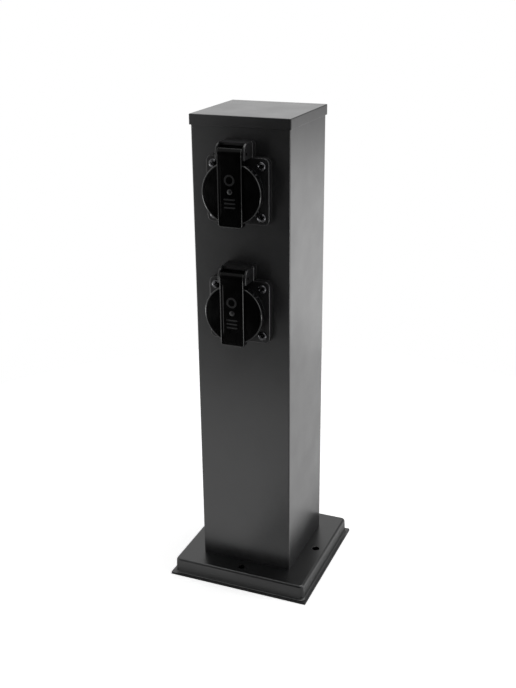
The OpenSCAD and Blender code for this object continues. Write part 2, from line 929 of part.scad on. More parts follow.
module hinge_boss() {
    difference() {
        translate([boss_w / 2, 0, 0])
            rotate([0, -90, 0])
                linear_extrude(boss_w)
                    boss_profile();
        hinge_cylinder(slot_r, slot_w);
        translate([-slot_w / 2, collar_d / 2, hinge_z - slot_r])
            cube([slot_w, hinge_rise - collar_d / 2, 2 * slot_r + cut]);
        translate([-slot_w / 2, hinge_rise, hinge_z - roof_setback])
            cube([slot_w, slot_r + roof_t + cut, slot_r + roof_setback + cut]);
        hinge_cylinder(pin_d / 2 + pin_fit, boss_w + 2 * cut);
    }
}

module well_ribs() {
    for (side = [-1, 1])
        translate([side * (well_r - rib_depth / 2), 0, (well_floor_z + rim_z - rib_drop) / 2])
            cube([rib_depth + collar_wall, rib_w, rim_z - rib_drop - well_floor_z], center = true);
}

module socket_housing() {
    color("#111113")
        difference() {
            union() {
                difference() {
                    union() {
                        translate([0, 0, gasket_t])
                            linear_extrude(flange_t)
                                flange_outline();
                        translate([0, 0, well_back_z])
                            cylinder(d = collar_d, h = rim_z - well_back_z);
                    }
                    translate([0, 0, well_floor_z])
                        cylinder(r = well_r, h = well_depth + cut);
                }
                hinge_boss();
                well_ribs();
            }
            translate([0, 0, well_back_z - cut])
                linear_extrude(well_floor_t + 2 * cut)
                    floor_holes();
        }
}

module floor_holes() {
    for (x = [-contact_x, contact_x])
        translate([x, 0])
            circle(d = pin_hole_d);
    earth_slots();
    circle(d = small_screw_d + 2 * hole_gap);
}

module earth_slots() {
    for (y = [-earth_y, earth_y])
        translate([0, y])
            square([earth_w + 2 * earth_slot_gap, earth_t + 2 * earth_slot_gap], center = true);
}

module flange_screws() {
    color("#1b1c1e")
        for (at = screw_centres)
            translate([at.x, at.y, flange_front_z])
                pan_screw(screw_d, screw_head_d, screw_head_h,
                    flange_front_z + column_wall + nut_h + screw_proud);
}

module flange_nuts() {
    color("#9a9da1")
        for (at = screw_centres)
            translate([at.x, at.y, -column_wall - nut_h])
                hex_nut(nut_af, nut_h, screw_d + 2 * thread_gap);
}

// Contacts and their block

module contact_block() {
    color("#e4e1d8")
        translate([0, 0, block_back_z])
            linear_extrude(block_depth)
                difference() {
                    circle(d = block_d);
                    for (x = [-contact_x, contact_x])
                        translate([x, 0])
                            circle(d = contact_d + 2 * contact_gap);
                    earth_slots();
                    circle(d = small_screw_d + 2 * thread_gap);
                }
}

// Box with a vertical wire bore and a clamping screw's hole from behind
module terminal_box() {
    difference() {
        cube(terminal_w, center = true);
        rotate([90, 0, 0])
            cylinder(d = wire_d + 2 * hole_gap, h = terminal_w + cut, center = true);
        translate([0, 0, -terminal_w])
            cylinder(d = small_screw_d + 2 * thread_gap, h = terminal_w);
    }
}

module pin_contact() {
    difference() {
        union() {
            translate([0, 0, block_back_z])
                cylinder(d = contact_d, h = block_depth);
            translate([0, 0, terminal_z])
                terminal_box();
        }
        translate([0, 0, block_back_z + contact_end_wall])
            cylinder(d = contact_bore_d, h = block_depth);
    }
}

module live_contact() {
    color("#b8934a")
        translate([contact_x, 0, 0])
            pin_contact();
}

module neutral_contact() {
    color("#b8934a")
        translate([-contact_x, 0, 0])
            pin_contact();
}

module earth_contact() {
    finger_top_z = well_floor_z + earth_finger_h;
    bridge_l = 2 * earth_y + earth_t;
    color("#b8934a") {
        translate([-earth_w / 2, -bridge_l / 2, block_back_z - earth_t])
            cube([earth_w, bridge_l, earth_t]);
        for (y = [-earth_y, earth_y])
            translate([-earth_w / 2, y - earth_t / 2, block_back_z - earth_t])
                cube([earth_w, earth_t, finger_top_z - block_back_z + earth_t]);
        translate([0, -earth_terminal_y, terminal_z])
            terminal_box();
    }
}

module insert_screw() {
    length = well_floor_t + block_depth - contact_end_wall;
    color("#9a9da1")
        translate([0, 0, well_floor_z])
            pan_screw(small_screw_d, small_head_d, small_head_h, length);
}

module terminal_screws() {
    proud = 1.5;
    color("#9a9da1")
        for (at = [[-contact_x, 0], [contact_x, 0], [0, -earth_terminal_y]])
            translate([at.x, at.y, terminal_z - terminal_w / 2 - proud])
                rotate([180, 0, 0])
                    clamp_screw(small_screw_d, proud + terminal_w / 2 - wire_d / 2 - contact_gap);
}

// Hinge pin, spring, lid and its seal

module hinge_pin() {
    color("#9a9da1")
        hinge_cylinder(pin_d / 2, boss_w);
}

// Point of the coil at an angle, in the socket's frame
function coil_point(angle) =
    [
        spring_l * (angle / spring_sweep - 0.5),
        hinge_rise + spring_r * sin(angle),
        hinge_z + spring_r * cos(angle)
    ];

function spring_path() =
    let (
        steps = ceil(spring_sweep / 360 * spring_steps_per_turn),
        first = coil_point(0),
        last = coil_point(spring_sweep),
        bend = last - [0, spring_hook_drop - spring_hook_bend, spring_hook_bend],
        hook_y = hinge_rise - spring_hook_drop
    )
    concat(
        [first - [0, spring_leg, 0]],
        [for (i = [0:steps]) coil_point(spring_sweep * i / steps)],
        [for (turn = [0:30:90]) bend + spring_hook_bend * [0, -sin(turn), cos(turn)]],
        [[last.x, hook_y, hinge_z - spring_hook_reach]]
    );

module lid_spring() {
    color("#b7b9bc")
        swept_tube(spring_path(), spring_wire_d / 2, spring_sides, [1, 0, 0]);
}

module lid_disc() {
    edge_at = lid_d / 2 - lid_edge_r;
    rotate_extrude()
        translate([0, lid_back_z]) {
            square([lid_d / 2, lid_h - lid_edge_r]);
            square([edge_at, lid_h]);
            translate([edge_at, lid_h - lid_edge_r])
                intersection() {
                    circle(lid_edge_r);
                    square(lid_edge_r);
                }
        }
}

// Front view of the strap, from the finger tab up to the hinge axis
module strap_outline() {
    strap_l = hinge_rise - tab_bottom_y;
    translate([0, tab_bottom_y + strap_l / 2])
        difference() {
            square([strap_w, strap_l], center = true);
            for (side = [-1, 1])
                translate([side * strap_w / 2, -strap_l / 2])
                    mirror([(1 + side) / 2, 0, 0])
                        difference() {
                            square(tab_corner_r);
                            translate([tab_corner_r, tab_corner_r])
                                circle(tab_corner_r);
                        }
        }
}

module lid_body() {
    lid_disc();
    translate([0, 0, strap_front_z - tab_t])
        linear_extrude(tab_t)
            strap_outline();
    translate([-strap_w / 2, lid_inner_r, lid_back_z])
        cube([strap_w, hinge_rise - lid_inner_r, strap_front_z - lid_back_z]);
    hinge_cylinder(barrel_r, strap_w);
}

// Room for the spring: round its coil, behind the barrel's middle, and down its leg
module spring_room() {
    hinge_cylinder(pocket_r, pocket_w);
    translate([-pocket_w / 2, lid_d / 2, hinge_z - slot_r])
        cube([pocket_w, hinge_rise + slot_r - lid_d / 2, slot_r]);
    translate([-spring_l / 2, hinge_rise, hinge_z + spring_r])
        rotate([90, 0, 0])
            cylinder(d = spring_wire_d + spring_gap, h = spring_leg + spring_gap);
}

module lid() {
    color("#111113")
        difference() {
            lid_body();
            translate([0, 0, lid_back_z - cut])
                cylinder(r = lid_inner_r, h = lid_inside_z - lid_back_z + cut);
            hinge_cylinder(pin_d / 2 + pin_run, strap_w + 2 * cut);
            spring_room();
            translate([-panel_w / 2, panel_rise - panel_h / 2, strap_front_z - panel_depth])
                cube([panel_w, panel_h, panel_depth + cut]);
        }
}

module lid_seal() {
    color("#161616")
        translate([0, 0, seal_back_z])
            linear_extrude(lid_inside_z - seal_back_z)
                difference() {
                    circle(seal_outer_r);
                    circle(seal_outer_r - seal_w);
                }
}

base_plate();
column();
top_cap();
cap_seal();
cap_clips();
column_screws();
cable_grommet();
terminal_bracket();
bracket_screws();
bracket_nuts();
terminal_block();
block_fixing_screws();
terminal_sleeves();
terminal_block_screws();
earth_bond_screw();
earth_bond_nut();
earth_bond_lug();
earth_bond_wire();
lower_live_wire();
lower_neutral_wire();
lower_earth_wire();
upper_live_wire();
upper_neutral_wire();
upper_earth_wire();
at_upper() socket_housing();  // upper_socket_housing
at_upper() flange_gasket();  // upper_flange_gasket
at_upper() flange_screws();  // upper_flange_screws
at_upper() flange_nuts();  // upper_flange_nuts
at_upper() contact_block();  // upper_contact_block
at_upper() live_contact();  // upper_live_contact
at_upper() neutral_contact();  // upper_neutral_contact
at_upper() earth_contact();  // upper_earth_contact
at_upper() insert_screw();  // upper_insert_screw
at_upper() terminal_screws();  // upper_terminal_screws
at_upper() hinge_pin();  // upper_hinge_pin
at_upper() lid_spring();  // upper_lid_spring
at_upper() lid();  // upper_lid
at_upper() lid_seal();  // upper_lid_seal
at_lower() socket_housing();  // lower_socket_housing
at_lower() flange_gasket();  // lower_flange_gasket
at_lower() flange_screws();  // lower_flange_screws
at_lower() flange_nuts();  // lower_flange_nuts
at_lower() contact_block();  // lower_contact_block
at_lower() live_contact();  // lower_live_contact
at_lower() neutral_contact();  // lower_neutral_contact
at_lower() earth_contact();  // lower_earth_contact
at_lower() insert_screw();  // lower_insert_screw
at_lower() terminal_screws();  // lower_terminal_screws
at_lower() hinge_pin();  // lower_hinge_pin
at_lower() lid_spring();  // lower_lid_spring
at_lower() lid();  // lower_lid
at_lower() lid_seal();  // lower_lid_seal
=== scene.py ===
import json
import math

import bpy
from mathutils import Matrix, Vector


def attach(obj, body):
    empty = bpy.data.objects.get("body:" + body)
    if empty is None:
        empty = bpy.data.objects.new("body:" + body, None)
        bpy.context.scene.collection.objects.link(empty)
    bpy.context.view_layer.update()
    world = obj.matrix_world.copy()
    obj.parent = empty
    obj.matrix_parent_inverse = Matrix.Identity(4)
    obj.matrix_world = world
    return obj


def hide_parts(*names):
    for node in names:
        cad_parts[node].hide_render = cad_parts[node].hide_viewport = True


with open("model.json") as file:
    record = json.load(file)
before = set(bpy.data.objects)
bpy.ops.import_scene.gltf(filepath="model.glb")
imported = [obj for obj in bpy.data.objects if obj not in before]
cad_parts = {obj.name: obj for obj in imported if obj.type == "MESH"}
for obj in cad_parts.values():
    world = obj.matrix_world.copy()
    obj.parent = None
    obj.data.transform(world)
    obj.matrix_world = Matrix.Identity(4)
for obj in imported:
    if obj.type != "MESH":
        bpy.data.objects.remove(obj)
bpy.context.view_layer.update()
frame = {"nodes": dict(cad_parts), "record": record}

# The post's main sizes, in millimetres from the middle of its underside
MM = 0.001
POST_TOP = 390.0
COLUMN_HALF = 39.25
SOCKET_HEIGHTS = {"upper": 336.7, "lower": 243.7}

# How close an edge or face lies to a plane, and how squarely to an axis, to be selected
TOUCHING = 0.01
NEAR = 0.05
SQUARE = 0.99


# Camera

CAMERA_ANGLES = (22.453, 21.362, -0.561)
CAMERA_PLACE = (0.28739, -0.7036, 0.4966)
SENSOR_WIDTH, FOCAL_LENGTH = 36, 51.8


def aim_camera():
    """The photograph's camera: degrees round to the right, degrees up and a slight roll."""
    azimuth, elevation, roll = (math.radians(angle) for angle in CAMERA_ANGLES)
    away = Vector((
        math.sin(azimuth) * math.cos(elevation),
        -math.cos(azimuth) * math.cos(elevation),
        math.sin(elevation),
    ))
    right = Vector((math.cos(azimuth), math.sin(azimuth), 0))
    up = away.cross(right)
    level_right = right * math.cos(roll) + up * math.sin(roll)
    level_up = up * math.cos(roll) - right * math.sin(roll)
    lens = bpy.data.cameras.new("photo_camera")
    lens.sensor_width = SENSOR_WIDTH
    lens.lens = FOCAL_LENGTH
    camera = bpy.data.objects.new("photo_camera", lens)
    bpy.context.scene.collection.objects.link(camera)
    place = Matrix((level_right, level_up, away)).transposed().to_4x4()
    place.translation = CAMERA_PLACE
    camera.matrix_world = place
    bpy.context.scene.camera = camera


aim_camera()


# Modelling: all sizes go in as millimetres

SPIN_SEAM = 0.002
SHORTEST_EDGE = 0.005
AXIS_TURNS = {"X": (0, math.pi / 2, 0), "Y": (math.pi / 2, 0, 0), "Z": (0, 0, 0)}


def clear_selection():
    if bpy.context.mode != "OBJECT":
        bpy.ops.object.mode_set(mode="OBJECT")
    bpy.ops.object.select_all(action="DESELECT")


def activate(piece):
    clear_selection()
    piece.select_set(True)
    bpy.context.view_layer.objects.active = piece
    return piece


def open_mesh(piece, kind, action):
    """Opens a piece in edit mode, with all or none of it selected."""
    activate(piece)
    bpy.ops.object.mode_set(mode="EDIT")
    bpy.ops.mesh.select_mode(type=kind)
    bpy.ops.mesh.select_all(action=action)


def close_mesh(piece):
    bpy.ops.object.mode_set(mode="OBJECT")
    return piece


def named(name):
    """The piece that was made last, under its name."""
    piece = bpy.context.active_object
    piece.name = name
    piece.data.name = name
    return piece


def settle(piece):
    """Puts the object's place, turn and scale into its mesh."""
    activate(piece)
    bpy.ops.object.transform_apply(location=True, rotation=True, scale=True)
    return piece


def slab(name, low, high):
    """A cuboid between two corners."""
    clear_selection()
    low, high = Vector(low) * MM, Vector(high) * MM
    bpy.ops.mesh.primitive_cube_add(size=1, location=(low + high) / 2)
    piece = named(name)
    piece.scale = high - low
    return settle(piece)


def rod(name, centre, radius, length, axis="Z", sides=64):
    """A round bar with its middle at a point."""
    clear_selection()
    bpy.ops.mesh.primitive_cylinder_add(
        vertices=sides, radius=radius * MM, depth=length * MM,
        location=Vector(centre) * MM, rotation=AXIS_TURNS[axis])
    return settle(named(name))


def choose(piece, kind, test):
    """Selects, in edit mode, edges by middle and direction or faces by middle and normal."""
    open_mesh(piece, kind, "DESELECT")
    close_mesh(piece)
    mesh = piece.data
    if kind == "FACE":
        for face in mesh.polygons:
            face.select = test(face.center / MM, face.normal)
    else:
        for edge in mesh.edges:
            a, b = (mesh.vertices[i].co / MM for i in edge.vertices)
            edge.select = test((a + b) / 2, (b - a).normalized())
    bpy.ops.object.mode_set(mode="EDIT")


def round_edges(piece, radius, steps, test):
    choose(piece, "EDGE", test)
    bpy.ops.mesh.bevel(offset=radius * MM, segments=steps, profile=0.5, affect="EDGES")
    return close_mesh(piece)


def slide_edges(piece, move, test):
    """Moves edges along Y."""
    choose(piece, "EDGE", test)
    bpy.ops.transform.translate(value=(0, move * MM, 0))
    return close_mesh(piece)


def sink_faces(piece, margin, depth, test):
    """Insets faces by a margin and sinks them by a depth."""
    choose(piece, "FACE", test)
    bpy.ops.mesh.inset(thickness=margin * MM, depth=-depth * MM)
    return close_mesh(piece)


def combine(piece, tool, action):
    """Unites a piece with a tool or cuts it by the tool, which is used up."""
    modifier = piece.modifiers.new("shape", "BOOLEAN")
    modifier.operation = action
    modifier.solver = "EXACT"
    modifier.object = tool
    activate(piece)
    bpy.ops.object.modifier_apply(modifier=modifier.name)
    bpy.data.objects.remove(tool)


def unite(piece, *tools):
    for tool in tools:
        combine(piece, tool, "UNION")
    return piece


def cut(piece, *tools):
    for tool in tools:
        combine(piece, tool, "DIFFERENCE")
    return piece


def joined(name, pieces):
    """Several pieces in one mesh."""
    clear_selection()
    for piece in pieces:
        piece.select_set(True)
    bpy.context.view_layer.objects.active = pieces[0]
    bpy.ops.object.join()
    return named(name)


def copied(piece, name):
    """A copy with its own mesh."""
    activate(piece)
    bpy.ops.object.duplicate(linked=False)
    return named(name)


def shifted(piece, move, turn=(0, 0, 0)):
    """Turns a piece about the origin, then moves it."""
    piece.rotation_euler = turn
    piece.location = Vector(move) * MM
    return settle(piece)


def turned(name, outline, steps=96):
    """An outline of radius and height points, spun round the Z axis."""
    clear_selection()
    bpy.ops.mesh.primitive_plane_add(size=MM)
    piece = named(name)
    open_mesh(piece, "VERT", "SELECT")
    bpy.ops.mesh.merge(type="CENTER")
    points = [Vector((r, 0, z)) * MM for r, z in outline]
    bpy.ops.transform.translate(value=points[0])
    for before, after in zip(points, points[1:]):
        bpy.ops.mesh.extrude_vertices_move(TRANSFORM_OT_translate={"value": after - before})
    bpy.ops.mesh.select_all(action="SELECT")
    bpy.ops.mesh.spin(steps=steps, angle=2 * math.pi, center=(0, 0, 0), axis=(0, 0, 1))
    bpy.ops.mesh.select_all(action="SELECT")
    bpy.ops.mesh.remove_doubles(threshold=SPIN_SEAM * MM)
    bpy.ops.mesh.normals_make_consistent(inside=False)
    return close_mesh(piece)


def choose_rings(piece, ring, wanted):
    """Selects whole rings of a square_rings mesh by their number."""
    open_mesh(piece, "EDGE", "DESELECT")
    close_mesh(piece)
    for edge in piece.data.edges:
        a, b = (i // ring for i in edge.vertices)
        edge.select = a == b and a in wanted
    bpy.ops.object.mode_set(mode="EDIT")


def square_rings(name, stations, corner_steps):
    """Rounded squares, each a half width, corner radius and height, bridged and closed."""
    clear_selection()
    piece = None
    for half, corner, height in stations:
        bpy.ops.mesh.primitive_plane_add(size=2 * half * MM, location=(0, 0, height * MM))
        if piece is None:
            piece = settle(named(name))
            open_mesh(piece, "VERT", "SELECT")
        bpy.ops.mesh.bevel(
            offset=corner * MM, segments=corner_steps, profile=0.5, affect="VERTICES")
        bpy.ops.mesh.select_all(action="DESELECT")
    bpy.ops.mesh.select_all(action="SELECT")
    bpy.ops.mesh.delete(type="ONLY_FACE")
    ring = 4 * (corner_steps + 1)
    last = len(stations) - 1
    for first in range(last):
        choose_rings(piece, ring, (first, first + 1))
        bpy.ops.mesh.bridge_edge_loops()
    for end in (0, last):
        choose_rings(piece, ring, (end,))
        bpy.ops.mesh.edge_face_add()
    bpy.ops.mesh.select_all(action="SELECT")
    bpy.ops.mesh.normals_make_consistent(inside=False)
    return close_mesh(piece)


def smooth_surface(piece, angle=32):
    """Clears tiny edges, then shades smooth, with flat faces flat and sharper edges sharp."""
    open_mesh(piece, "VERT", "SELECT")
    bpy.ops.mesh.remove_doubles(threshold=SHORTEST_EDGE * MM)
    bpy.ops.mesh.dissolve_degenerate(threshold=SHORTEST_EDGE * MM)
    close_mesh(piece)
    bpy.ops.object.shade_smooth_by_angle(angle=math.radians(angle))
    modifier = piece.modifiers.new("even_normals", "WEIGHTED_NORMAL")
    modifier.keep_sharp = True
    bpy.ops.object.modifier_apply(modifier=modifier.name)
    return piece


def arc(centre, radius, start, end, steps):
    """Points of an arc from one angle to another, in degrees."""
    turn = [math.radians(start + (end - start) * i / steps) for i in range(steps + 1)]
    return [(centre[0] + radius * math.cos(t), centre[1] + radius * math.sin(t)) for t in turn]


# Finishes

TONE_SPAN = (0.35, 0.65)
ROUGH_SPAN = (0.3, 0.7)
GRAIN_DEPTH = 0.0002


def texture_group(name, sockets_in, sockets_out):
    """An empty shader node group with named number inputs and outputs."""
    group = bpy.data.node_groups.new(name, "ShaderNodeTree")
    for label, value in sockets_in:
        socket = group.interface.new_socket(
            label, in_out="INPUT", socket_type="NodeSocketFloat")
        socket.default_value = value
    for label in sockets_out:
        group.interface.new_socket(label, in_out="OUTPUT", socket_type="NodeSocketFloat")
    return group, group.nodes.new("NodeGroupInput"), group.nodes.new("NodeGroupOutput")


def surface_grain():
    """Fine grain for bump and broad blotches for tone, on object coordinates."""
    group, inside, outside = texture_group(
        "surface_grain", [("Grain Scale", 900), ("Blotch Scale", 20)], ["Grain", "Blotch"])
    place = group.nodes.new("ShaderNodeTexCoord")
    for label, detail in (("Grain", 2), ("Blotch", 4)):
        noise = group.nodes.new("ShaderNodeTexNoise")
        noise.inputs["Detail"].default_value = detail
        group.links.new(place.outputs["Object"], noise.inputs["Vector"])
        group.links.new(inside.outputs[label + " Scale"], noise.inputs["Scale"])
        group.links.new(noise.outputs["Fac"], outside.inputs[label])
    return group


GRAIN = surface_grain()


def finish(name, dark, light, rough, bump, grain, blotch, **fixed):
    """Two tones and two roughnesses mixed by blotches, with a fine grain as bump."""
    material = bpy.data.materials.new(name)
    material.use_nodes = True
    nodes, links = material.node_tree.nodes, material.node_tree.links
    shader = nodes["Principled BSDF"]
    for label, value in fixed.items():
        shader.inputs[label.replace("_", " ")].default_value = value
    texture = nodes.new("ShaderNodeGroup")
    texture.node_tree = GRAIN
    texture.inputs["Grain Scale"].default_value = grain
    texture.inputs["Blotch Scale"].default_value = blotch
    tone = nodes.new("ShaderNodeValToRGB")
    for stop, position, colour in zip(tone.color_ramp.elements, TONE_SPAN, (dark, light)):
        stop.position = position
        stop.color = (*colour, 1)
    links.new(texture.outputs["Blotch"], tone.inputs["Fac"])
    links.new(tone.outputs["Color"], shader.inputs["Base Color"])
    spread = nodes.new("ShaderNodeMapRange")
    for end, mask, roughness in zip(("Min", "Max"), ROUGH_SPAN, rough):
        spread.inputs["From " + end].default_value = mask
        spread.inputs["To " + end].default_value = roughness
    links.new(texture.outputs["Blotch"], spread.inputs["Value"])
    links.new(spread.outputs["Result"], shader.inputs["Roughness"])
    relief = nodes.new("ShaderNodeBump")
    relief.inputs["Strength"].default_value = bump
    relief.inputs["Distance"].default_value = GRAIN_DEPTH
    links.new(texture.outputs["Grain"], relief.inputs["Height"])
    links.new(relief.outputs["Normal"], shader.inputs["Normal"])
    return material


# By material slot: dark tone, light tone and roughness range, then grain and gloss
FINISHES = {
    "post_paint": finish(
        "satin_black_paint", (0.015, 0.0153, 0.0163), (0.021, 0.0213, 0.0226), (0.285, 0.4),
        bump=0.12, grain=1100, blotch=26, Coat_Weight=0.5, Coat_Roughness=0.25, IOR=1.57),
    "base_paint": finish(
        "matt_black_paint", (0.004, 0.0042, 0.0045), (0.0065, 0.0067, 0.0072), (0.285, 0.33),
        bump=0.14, grain=1100, blotch=30, IOR=1.7),
    "housing_plastic": finish(
        "satin_black_moulding", (0.014, 0.014, 0.015), (0.020, 0.020, 0.021), (0.285, 0.32),
        bump=0.1, grain=1500, blotch=60, IOR=1.5),
    "lid_plastic": finish(
        "gloss_black_moulding", (0.0017, 0.0017, 0.0018), (0.0026, 0.0026, 0.0028), (0.11, 0.16),
        bump=0.04, grain=1500, blotch=60, IOR=1.48),
    "black_steel": finish(
        "black_steel", (0.06, 0.06, 0.063), (0.1, 0.1, 0.105), (0.16, 0.26),
        bump=0.08, grain=2500, blotch=400, Metallic=1.0),
    "rubber_black": finish(
        "black_rubber", (0.010, 0.010, 0.010), (0.017, 0.017, 0.017), (0.62, 0.78),
        bump=0.25, grain=1800, blotch=120),
    "zinc_steel": finish(
        "zinc_plated_steel", (0.48, 0.49, 0.51), (0.60, 0.61, 0.63), (0.285, 0.38),
        bump=0.05, grain=2200, blotch=150, Metallic=1.0),
    "brass_parts": finish(
        "bright_brass", (0.66, 0.47, 0.19), (0.76, 0.58, 0.28), (0.285, 0.34),
        bump=0.05, grain=2200, blotch=150, Metallic=1.0),
    "tinned_copper": finish(
        "tinned_copper", (0.62, 0.62, 0.60), (0.72, 0.72, 0.70), (0.285, 0.42),
        bump=0.05, grain=2200, blotch=150, Metallic=1.0),
    "pale_plastic": finish(
        "pale_moulding", (0.68, 0.66, 0.60), (0.74, 0.72, 0.66), (0.42, 0.5),
        bump=0.06, grain=1500, blotch=80),
    "live_insulation": finish(
        "brown_insulation", (0.13, 0.055, 0.022), (0.18, 0.08, 0.035), (0.38, 0.48),
        bump=0.05, grain=1500, blotch=90),
    "neutral_insulation": finish(
        "blue_insulation", (0.022, 0.10, 0.36), (0.035, 0.13, 0.45), (0.38, 0.48),
        bump=0.05, grain=1500, blotch=90),
    "earth_insulation": finish(
        "green_yellow_insulation", (0.05, 0.26, 0.03), (0.72, 0.55, 0.03), (0.38, 0.48),
        bump=0.05, grain=1500, blotch=220),
}

for part in frame["record"]["subparts"]:
    node = frame["nodes"][part["node"]]
    if not node.material_slots:
        node.data.materials.append(None)
    for place in node.material_slots:
        place.material = FINISHES[part["material_slot"]]


def finish_piece(piece, slot, body, *nodes):
    """Gives a modelled piece its finish and its body, and hides the nodes that it stands for."""
    piece.data.materials.clear()
    piece.data.materials.append(FINISHES[slot])
    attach(piece, body)
    if nodes:
        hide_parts(*nodes)


# Foot plate and cap: LEVEL is the least rise that keeps two rings out of one plane

LEVEL = 0.04
FOOT_HALF, FOOT_TOP, FOOT_SHEET = 61.5, 14.2, 1.5
FOOT_CORNER = 54.6
LIP_CORNER, LEAST_CORNER = 1.2, 0.45
FIXING_AT, FIXING_HOLE = 49.25, 3.0
COLUMN_SCREW_AT, COLUMN_SCREW_HOLE = 34.05, 1.9
INNER_SCREWS_AT, INNER_SCREW_HOLE = ((-10, -28.75), (10, -28.75), (24, 20)), 2.15
INLET_HOLE = 9


def foot_plate():
    """A pressed dish upside down: shoulder, leaning wall, flare and a lip with a grooved edge."""
    shoulder_r, shoulder_inner_r, flare_r, flare_inner_r = 2.2, 0.7, 1.5, 3.0
    shoulder, flare = (1.55, FOOT_TOP - shoulder_r), (5.7, flare_inner_r)
    outside = arc(shoulder, shoulder_r, 90, 4, 8) + arc(flare, flare_r, 176, 270, 7)
    inside = arc(flare, flare_inner_r, 270, 180, 8) + arc(shoulder, shoulder_inner_r, 0, 90, 5)
    lip = [(0.25, FOOT_SHEET - LEVEL), (0, FOOT_SHEET - 0.25), (0, 0.95), (0.1, 0.86),
           (1.8, 0.8), (1.85, 0.16), (0.15, 0.1), (0.15, 0)]
    stations = [(FOOT_CORNER + reach, reach, z) for reach, z in outside]
    stations += [(FOOT_HALF - inset, max(LIP_CORNER - inset, LEAST_CORNER), z)
                 for inset, z in lip]
    stations += [(FOOT_CORNER + reach, reach, max(z, LEVEL)) for reach, z in inside]
    plate = square_rings("foot_pressing", stations, 8)

    sides = ((1, 0), (-1, 0), (0, 1), (0, -1))
    fixings = [(FIXING_AT * x, FIXING_AT * y, FIXING_HOLE) for x, y in sides]
    holes = fixings + [(COLUMN_SCREW_AT * x, COLUMN_SCREW_AT * y, COLUMN_SCREW_HOLE)
                       for x in (-1, 1) for y in (-1, 1)]
    holes += [(x, y, INNER_SCREW_HOLE) for x, y in INNER_SCREWS_AT] + [(0, 0, INLET_HOLE)]
    tools = [rod("hole", (x, y, FOOT_TOP), r, 4 * FOOT_SHEET, sides=40) for x, y, r in holes]
    cut(plate, joined("holes", tools))

    def round_a_fixing(middle, along):
        return (abs(middle.z - FOOT_TOP) < TOUCHING and abs(along.z) < TOUCHING
                and any(abs((middle.xy - Vector((x, y))).length - r) < NEAR
                        for x, y, r in fixings))

    hole_edge = 0.35
    round_edges(plate, hole_edge, 2, round_a_fixing)
    return smooth_surface(plate)


def folded_cap():
    """A folded sheet cap; its front and back flaps reach across the ends of the side flaps."""
    half, skirt, sheet, fold = 40.25, 8.0, 0.8, 0.7
    hem, least_corner, inner_corner = 0.15, 0.05, 0.1
    corner, low = half - fold, POST_TOP - skirt
    stations = [(corner + reach, max(reach, least_corner), z)
                for reach, z in arc((0, POST_TOP - fold), fold, 90, 0, 6)]
    stations += [
        (half, fold, low + hem),
        (half - hem, fold - hem, low),
        (half - sheet, inner_corner, low + LEVEL),
        (half - sheet, inner_corner, POST_TOP - sheet),
    ]
    cap = square_rings("folded_cap", stations, 5)
    slit_half, slit_depth, past = 0.12, 0.35, 1
    slit_top = POST_TOP - fold - 0.2
    seams = []
    to_left, to_right = slit_depth - past - 2 * half, 0
    for move in (to_left, to_right):
        for y in (-1, 1):
            seam = slab("seam", (half - slit_depth, -slit_half, low - past),
                        (half + past, slit_half, slit_top))
            seams.append(shifted(seam, (move, y * (half - sheet), 0)))
    cut(cap, joined("seams", seams))
    return smooth_surface(cap)


# Sockets, modelled face up on a column wall at height 0, then stood against the column

FLANGE_HALF, FLANGE_BACK, FLANGE_FRONT = 25, 1, 5.5
SCREW_AT, SCREW_HOLE = 19.0, 2.15
PIN_AT, PIN_HOLE = 9.5, 2.8
HINGE_UP, HINGE_OUT = 29.0, 15.0
HINGE = (0, HINGE_UP, HINGE_OUT)
BARREL_R, PIN_REACH = 5.5, 30
CORNERS = ((-1, -1), (-1, 1), (1, -1), (1, 1))


def in_socket(piece, place):
    return shifted(piece, (0, -COLUMN_HALF, SOCKET_HEIGHTS[place]), (math.pi / 2, 0, 0))


def upright(along):
    return abs(along.z) > SQUARE


def crosswise(along):
    return abs(along.x) > SQUARE


def rounded_plate(name, low, high, corner, edge, keep_low_corners=False):
    """A plate with rounded corners and a softened front edge."""
    plate = slab(name, low, high)
    halfway = (low[1] + high[1]) / 2
    round_edges(plate, corner, 8, lambda middle, along: upright(along)
                and not (keep_low_corners and middle.y < halfway))
    return round_edges(plate, edge, 3, lambda middle, along: middle.z > high[2] - TOUCHING)


def hinge_boss():
    """The block that carries the lid: two cheeks with rounded noses and a short roof between."""
    half, foot, top, back, front = 11.5, 24.94, 36.44, 4.5, 19.3
    nose_r, cheek_edge, roof_edge = 7.0, 0.7, 0.6
    boss = slab("boss", (-half, foot, back), (half, top, front))
    round_edges(boss, nose_r, 12, lambda middle, along: crosswise(along)
                and middle.y > top - NEAR and middle.z > front - NEAR)
    round_edges(boss, cheek_edge, 3, lambda middle, along: middle.z > back + NEAR
                and middle.y > foot + NEAR and abs(abs(middle.x) - half) < TOUCHING)

    slot, room, roof_front = 10.0, BARREL_R + 0.4, 13.0
    strap_foot, past_front, pin_hole = 21, 22, 1.27
    cut(
        boss,
        rod("barrel_room", HINGE, room, 2 * slot, "X", 72),
        slab("strap_room", (-slot, strap_foot, HINGE_OUT - room + 0.05),
             (slot, HINGE_UP, past_front)),
        slab("open_front", (-slot, HINGE_UP, roof_front), (slot, top + 1, past_front)),
        rod("pin_hole", HINGE, pin_hole, PIN_REACH, "X", 32),
    )
    return round_edges(boss, roof_edge, 3, lambda middle, along: crosswise(along)
                       and middle.y > top - NEAR and abs(middle.z - roof_front) < NEAR
                       and abs(middle.x) < slot)


